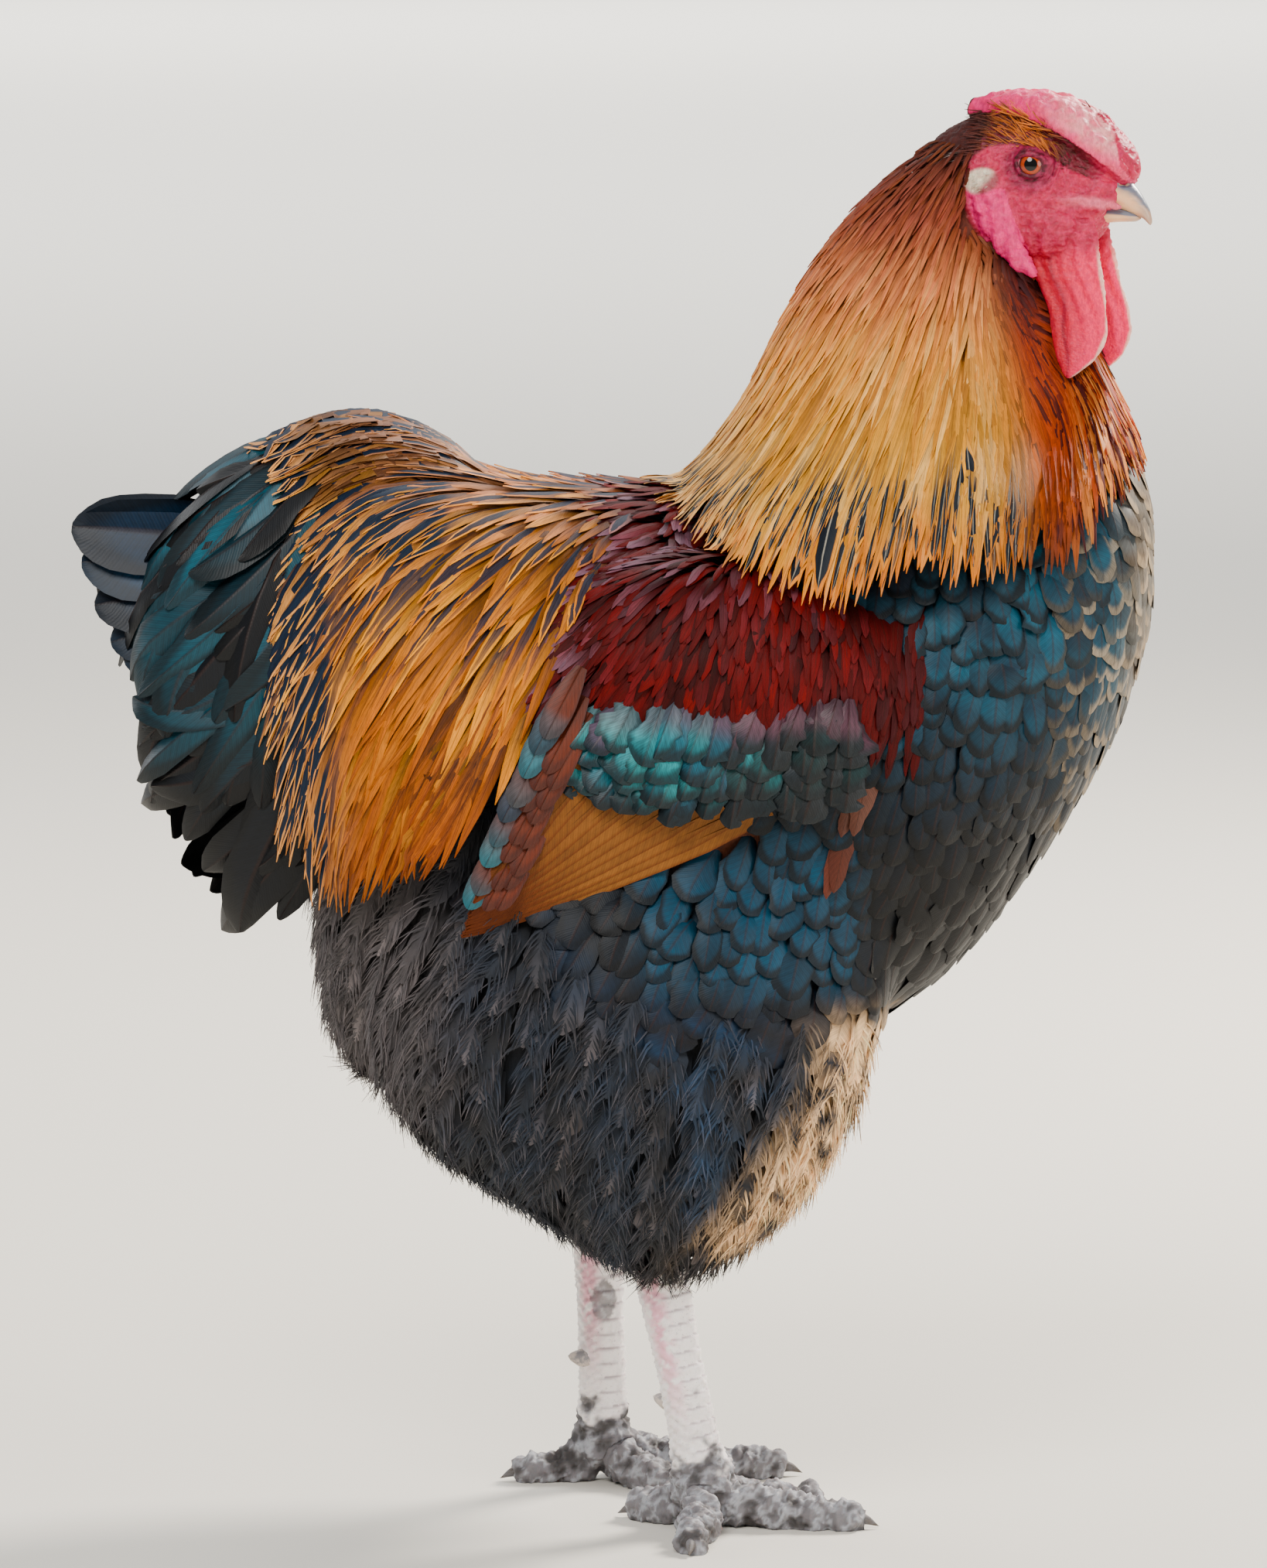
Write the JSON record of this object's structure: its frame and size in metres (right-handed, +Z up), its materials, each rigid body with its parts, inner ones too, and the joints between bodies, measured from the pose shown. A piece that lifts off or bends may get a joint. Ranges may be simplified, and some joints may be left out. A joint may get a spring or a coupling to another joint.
{
  "type": "wyandotte rooster",
  "caption": "Life-size standing rooster with a low rose comb, wattles, full hackle and saddle feathers, folded wings and a short upright tail.",
  "frame": {"origin": "on the floor under the middle of the bird's length and width", "axes": "+X the way the bird's body faces, +Y its left side, +Z up"},
  "size_m": [0.3928, 0.2092, 0.5163],
  "materials": {
    "flesh": "bumpy red skin, slightly translucent",
    "horn": "smooth worn horn",
    "eye": "wet glossy eyeball with an orange-red iris",
    "hackle_feathers": "long golden-brown lancet feathers",
    "saddle_feathers": "long golden-orange lancet feathers",
    "wing_bow_feathers": "glossy maroon feathers",
    "wing_bar_feathers": "iridescent teal feathers",
    "flight_feathers": "cinnamon-brown vanes",
    "tail_feathers": "black feathers with a green-blue sheen",
    "body_feathers": "black scale-like feathers with a teal sheen",
    "fluff": "soft dark grey down",
    "leg_scales": "pale scaly skin"
  },
  "bodies": {
    "root": {"beak_lower": "horn", "beak_upper": "horn", "claw_left_hind": "horn", "claw_left_inner": "horn", "claw_left_middle": "horn", "claw_left_outer": "horn", "claw_right_hind": "horn", "claw_right_inner": "horn", "claw_right_middle": "horn", "claw_right_outer": "horn", "comb": "flesh", "earlobe_left": "flesh", "earlobe_right": "flesh", "eye_left": "eye", "eye_right": "eye", "head": "flesh", "neck": "hackle_feathers", "rump": "tail_feathers", "saddle_left": "saddle_feathers", "saddle_right": "saddle_feathers", "shank_left": "leg_scales", "shank_right": "leg_scales", "spur_left": "horn", "spur_right": "horn", "tail_coverts_left": "tail_feathers", "tail_coverts_right": "tail_feathers", "tail_main": "tail_feathers", "thigh_left": "fluff", "thigh_right": "fluff", "toe_left_hind": "leg_scales", "toe_left_inner": "leg_scales", "toe_left_middle": "leg_scales", "toe_left_outer": "leg_scales", "toe_right_hind": "leg_scales", "toe_right_inner": "leg_scales", "toe_right_middle": "leg_scales", "toe_right_outer": "leg_scales", "torso": "body_feathers", "wattle_left": "flesh", "wattle_right": "flesh", "wing_bar_left": "wing_bar_feathers", "wing_bar_right": "wing_bar_feathers", "wing_bow_left": "wing_bow_feathers", "wing_bow_right": "wing_bow_feathers", "wing_flights_left": "flight_feathers", "wing_flights_right": "flight_feathers"}
  },
  "joints": []
}
